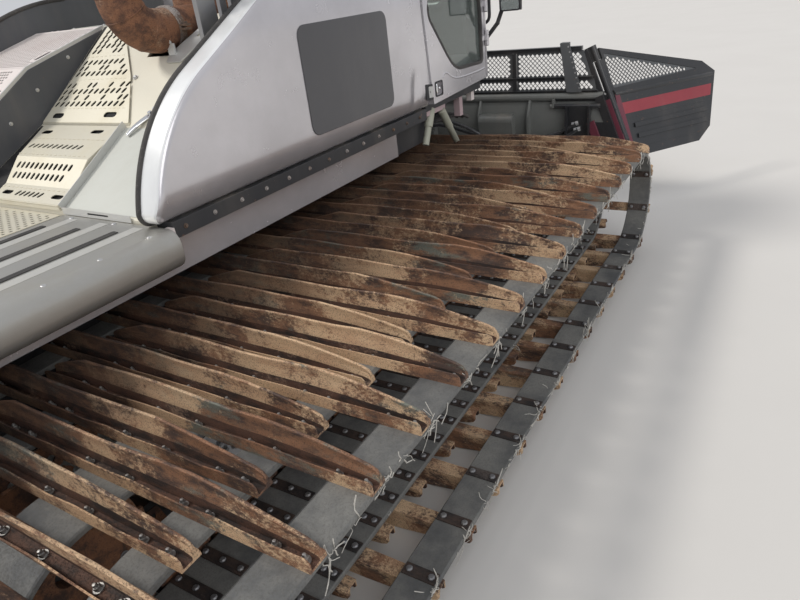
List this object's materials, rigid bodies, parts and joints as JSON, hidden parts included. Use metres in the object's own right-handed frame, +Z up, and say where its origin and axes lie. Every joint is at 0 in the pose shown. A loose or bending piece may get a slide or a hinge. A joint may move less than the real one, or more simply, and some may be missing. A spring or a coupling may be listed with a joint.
{
  "type": "snowcat groomer",
  "caption": "Tracked snow groomer with wide bar tracks, a side-podded body, a glazed cab, a folding front blade and a rear tiller.",
  "frame": {"origin": "middle of the length and width, on the ground under the tracks", "axes": "+X forward along the length, +Y to the left, +Z up"},
  "size_m": [6.919, 4.5614, 2.89],
  "materials": {
    "black_paint": "satin black paint",
    "silver_paint": "silver metallic paint, glossy",
    "engine_iron": "dull cast iron",
    "tyre": "black tyre rubber",
    "rim_paint": "dusty grey paint",
    "belt_rubber": "dusty dark grey belt rubber",
    "rusty_steel": "rusty bare steel",
    "dark_panel": "dark smooth panel",
    "dark_rail": "dark bolted rail",
    "aluminium": "plain sheet aluminium",
    "stair_aluminium": "cream-grey perforated aluminium",
    "deck_aluminium": "brushed aluminium",
    "rusty_pipe": "rusty exhaust pipe",
    "shield_metal": "grey heat shield",
    "glass": "lightly tinted glass",
    "seat_fabric": "dark woven fabric",
    "black_plastic": "matte black plastic",
    "lamp_plastic": "black lamp housings",
    "beacon_plastic": "orange lens",
    "blade_paint": "worn black paint",
    "chrome_rod": "bright piston rods",
    "rotor_steel": "worn steel",
    "comb_rubber": "black rubber comb"
  },
  "bodies": {
    "chassis": {"hull": "black_paint", "platform": "silver_paint", "engine_block": "engine_iron", "wheel_arms": "black_paint", "wheel_tyres": "tyre", "wheel_rims": "rim_paint", "drive_sprockets": "rim_paint", "belts_left": "belt_rubber", "belts_right": "belt_rubber", "bars_left": "rusty_steel", "bars_right": "rusty_steel", "pod_left": "silver_paint", "pod_right": "silver_paint", "pod_panels": "dark_panel", "body_sills": "dark_rail", "engine_hood": "aluminium", "rear_stairs": "stair_aluminium", "rear_deck": "deck_aluminium", "exhaust": "rusty_pipe", "heat_shield": "shield_metal", "cab_frame": "black_paint", "cab_shell": "silver_paint", "windscreen": "glass", "rear_window": "glass", "seats": "seat_fabric", "console": "black_plastic", "roof_lamps": "lamp_plastic", "beacon": "beacon_plastic", "mirrors": "black_plastic", "blade_mount": "black_paint", "tiller_mount": "black_paint"},
    "door_left": {"door_left": "silver_paint", "door_glass_left": "glass"},
    "door_right": {"door_right": "silver_paint", "door_glass_right": "glass"},
    "lift_frame": {"lift_frame": "black_paint"},
    "blade_carrier": {"blade_carrier": "black_paint"},
    "blade_head": {"blade_head": "black_paint"},
    "blade": {"blade_centre": "blade_paint", "blade_screens": "blade_paint"},
    "wing_left": {"wing_left": "blade_paint"},
    "wing_right": {"wing_right": "blade_paint"},
    "lift_barrels": {"lift_barrels": "black_paint"},
    "lift_rods": {"lift_rods": "chrome_rod"},
    "tiller_arm": {"tiller_arm": "black_paint"},
    "tiller": {"tiller_hood": "black_paint"},
    "rotor": {"rotor": "rotor_steel"},
    "comb": {"comb_flap": "comb_rubber"},
    "tiller_barrel": {"tiller_barrel": "black_paint"},
    "tiller_rod": {"tiller_rod": "chrome_rod"}
  },
  "joints": [
    {"name": "blade_lift", "type": "hinge", "parent": "chassis", "child": "lift_frame", "pos_m": [1.58203, 0, 0.33], "axis": [0, 1, 0], "range_deg": [-28, 8]},
    {"name": "blade_level", "type": "hinge", "parent": "lift_frame", "child": "blade_carrier", "pos_m": [2.17603, 0, 0.33], "axis": [0, 1, 0], "range_deg": [-8.08, 28.28]},
    {"name": "blade_angle", "type": "hinge", "parent": "blade_carrier", "child": "blade_head", "pos_m": [2.36603, 0, 0.43], "axis": [0, 0, 1], "range_deg": [-15, 15]},
    {"name": "blade_tilt", "type": "hinge", "parent": "blade_head", "child": "blade", "pos_m": [2.36603, 0, 0.43], "axis": [1, 0, 0], "range_deg": [-5, 5]},
    {"name": "wing_left_fold", "type": "hinge", "parent": "blade", "child": "wing_left", "pos_m": [2.59603, 1.65, 0.81], "axis": [0, -0.3746, 0.9272], "range_deg": [-20, 57]},
    {"name": "wing_right_fold", "type": "hinge", "parent": "blade", "child": "wing_right", "pos_m": [2.59603, -1.65, 0.81], "axis": [0, 0.3746, 0.9272], "range_deg": [-57, 20]},
    {"name": "lift_barrel_swing", "type": "hinge", "parent": "chassis", "child": "lift_barrels", "pos_m": [1.56203, 0, 0.8], "axis": [0, 1, 0], "range_deg": [-14.83, 4.24]},
    {"name": "lift_rod_slide", "type": "slide", "parent": "lift_barrels", "child": "lift_rods", "axis": [0.7926, 0, -0.6097], "range_m": [-0.19246, 0.05499]},
    {"name": "tiller_lift", "type": "hinge", "parent": "chassis", "child": "tiller_arm", "pos_m": [-2.14432, 0, 0.48], "axis": [0, 1, 0], "range_deg": [-5, 24]},
    {"name": "tiller_roll", "type": "hinge", "parent": "tiller_arm", "child": "tiller", "pos_m": [-2.51432, 0, 0.64], "axis": [1, 0, 0], "range_deg": [-4, 4]},
    {"name": "rotor_spin", "type": "hinge", "parent": "tiller", "child": "rotor", "pos_m": [-2.84432, 0, 0.33], "axis": [0, 1, 0], "continuous": true},
    {"name": "comb_swing", "type": "hinge", "parent": "tiller", "child": "comb", "pos_m": [-3.12232, 0, 0.3], "axis": [0, 1, 0], "range_deg": [-10, 25]},
    {"name": "tiller_barrel_swing", "type": "hinge", "parent": "chassis", "child": "tiller_barrel", "pos_m": [-2.11432, 0, 0.7], "axis": [0, 1, 0], "range_deg": [-5.35, 25.69]},
    {"name": "tiller_rod_slide", "type": "slide", "parent": "tiller_barrel", "child": "tiller_rod", "axis": [-0.9988, 0, 0.0499], "range_m": [-0.09402, 0.01959]},
    {"name": "door_left_swing", "type": "hinge", "parent": "chassis", "child": "door_left", "pos_m": [1.72968, 1.065, 1.4], "axis": [0, 0, 1], "range_deg": [-75, 0]},
    {"name": "door_right_swing", "type": "hinge", "parent": "chassis", "child": "door_right", "pos_m": [1.72968, -1.065, 1.4], "axis": [0, 0, 1], "range_deg": [0, 75]}
  ],
  "couplings": [
    {"joint": "blade_level", "follows": "blade_lift", "ratio": -1},
    {"joint": "lift_barrel_swing", "follows": "blade_lift", "ratio": 0.5191},
    {"joint": "lift_rod_slide", "follows": "blade_lift", "m_per_rad": 0.38609},
    {"joint": "tiller_barrel_swing", "follows": "tiller_lift", "ratio": 1.0496},
    {"joint": "tiller_rod_slide", "follows": "tiller_lift", "m_per_rad": -0.22005}
  ]
}
